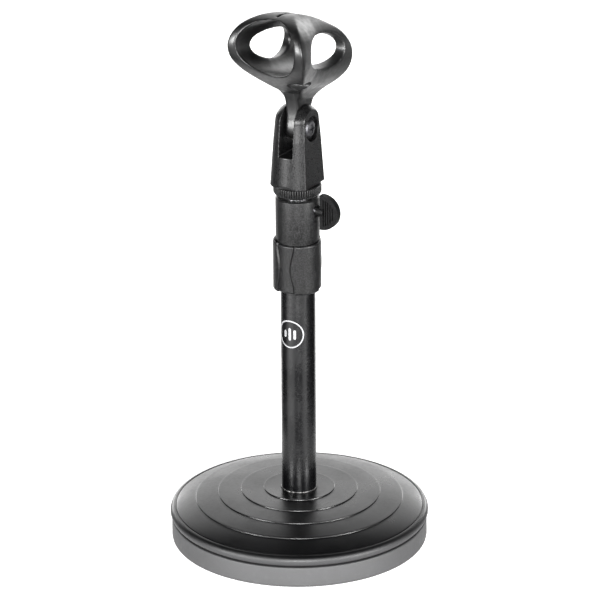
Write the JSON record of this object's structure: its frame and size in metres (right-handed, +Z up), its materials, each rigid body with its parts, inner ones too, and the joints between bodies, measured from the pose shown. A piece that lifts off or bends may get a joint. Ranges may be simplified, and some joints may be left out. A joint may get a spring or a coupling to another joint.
{
  "type": "table-top microphone stand",
  "caption": "Table-top microphone stand with a round weighted base, telescoping column with clutch and thumbscrew, and a flexible egg-style clip on a tilting yoke.",
  "frame": {"origin": "centre of the base's underside, on the column's axis", "axes": "+Z up the column; the clip's mouth faces -Y; the clip tilts about X and the thumbscrew sits on +X"},
  "size_m": [0.1496, 0.15, 0.3203],
  "materials": {
    "painted_iron": "satin black paint",
    "painted_steel": "semi-gloss black paint",
    "black_rubber": "matte",
    "felt_pad": "matte",
    "plated_steel": "plated",
    "black_steel": "blackened",
    "brass": "turned",
    "natural_nylon": "satin",
    "grained_plastic": "fine grain",
    "smooth_plastic": "knurled",
    "yoke_plastic": "satin grain",
    "clip_rubber": "satin"
  },
  "bodies": {
    "stand": {"base_casting": "painted_iron", "base_rubber_ring": "black_rubber", "base_underlay": "felt_pad", "base_washer": "plated_steel", "base_spring_washer": "plated_steel", "base_bolt": "plated_steel", "lower_tube": "painted_steel", "tube_plug": "plated_steel", "rod_guide_bush": "natural_nylon", "clutch_body": "grained_plastic", "thumb_insert_nut": "black_steel"},
    "collar": {"clutch_collar": "grained_plastic"},
    "thumbscrew": {"thumb_wing": "grained_plastic", "thumb_screw_shank": "plated_steel", "thumb_pressure_pad": "natural_nylon"},
    "riser": {"upper_rod": "plated_steel", "rod_end_plug": "natural_nylon"},
    "lock_ring": {"lock_ring": "smooth_plastic"},
    "head": {"yoke": "yoke_plastic", "yoke_thread_insert": "brass", "pivot_screw": "black_steel", "pivot_nut": "black_steel"},
    "clip": {"clip_body": "clip_rubber", "pivot_bush": "plated_steel"}
  },
  "joints": [
    {"name": "collar_twist", "type": "hinge", "parent": "stand", "child": "collar", "pos_m": [0, 0, 0.17], "axis": [0, 0, 1], "range_deg": [0, 90]},
    {"name": "thumbscrew_turn", "type": "hinge", "parent": "stand", "child": "thumbscrew", "pos_m": [0.015, 0, 0.2018], "axis": [1, 0, 0], "range_deg": [0, 180]},
    {"name": "height_slide", "type": "slide", "parent": "stand", "child": "riser", "axis": [0, 0, 1], "range_m": [0, 0.1]},
    {"name": "lock_ring_turn", "type": "hinge", "parent": "riser", "child": "lock_ring", "pos_m": [0, 0, 0.213], "axis": [0, 0, 1], "range_deg": [0, 180]},
    {"name": "head_swivel", "type": "hinge", "parent": "riser", "child": "head", "pos_m": [0, 0, 0.22], "axis": [0, 0, 1], "range_deg": [-180, 180]},
    {"name": "clip_tilt", "type": "hinge", "parent": "head", "child": "clip", "pos_m": [0, 0, 0.25], "axis": [1, 0, 0], "range_deg": [-70, 85]}
  ]
}
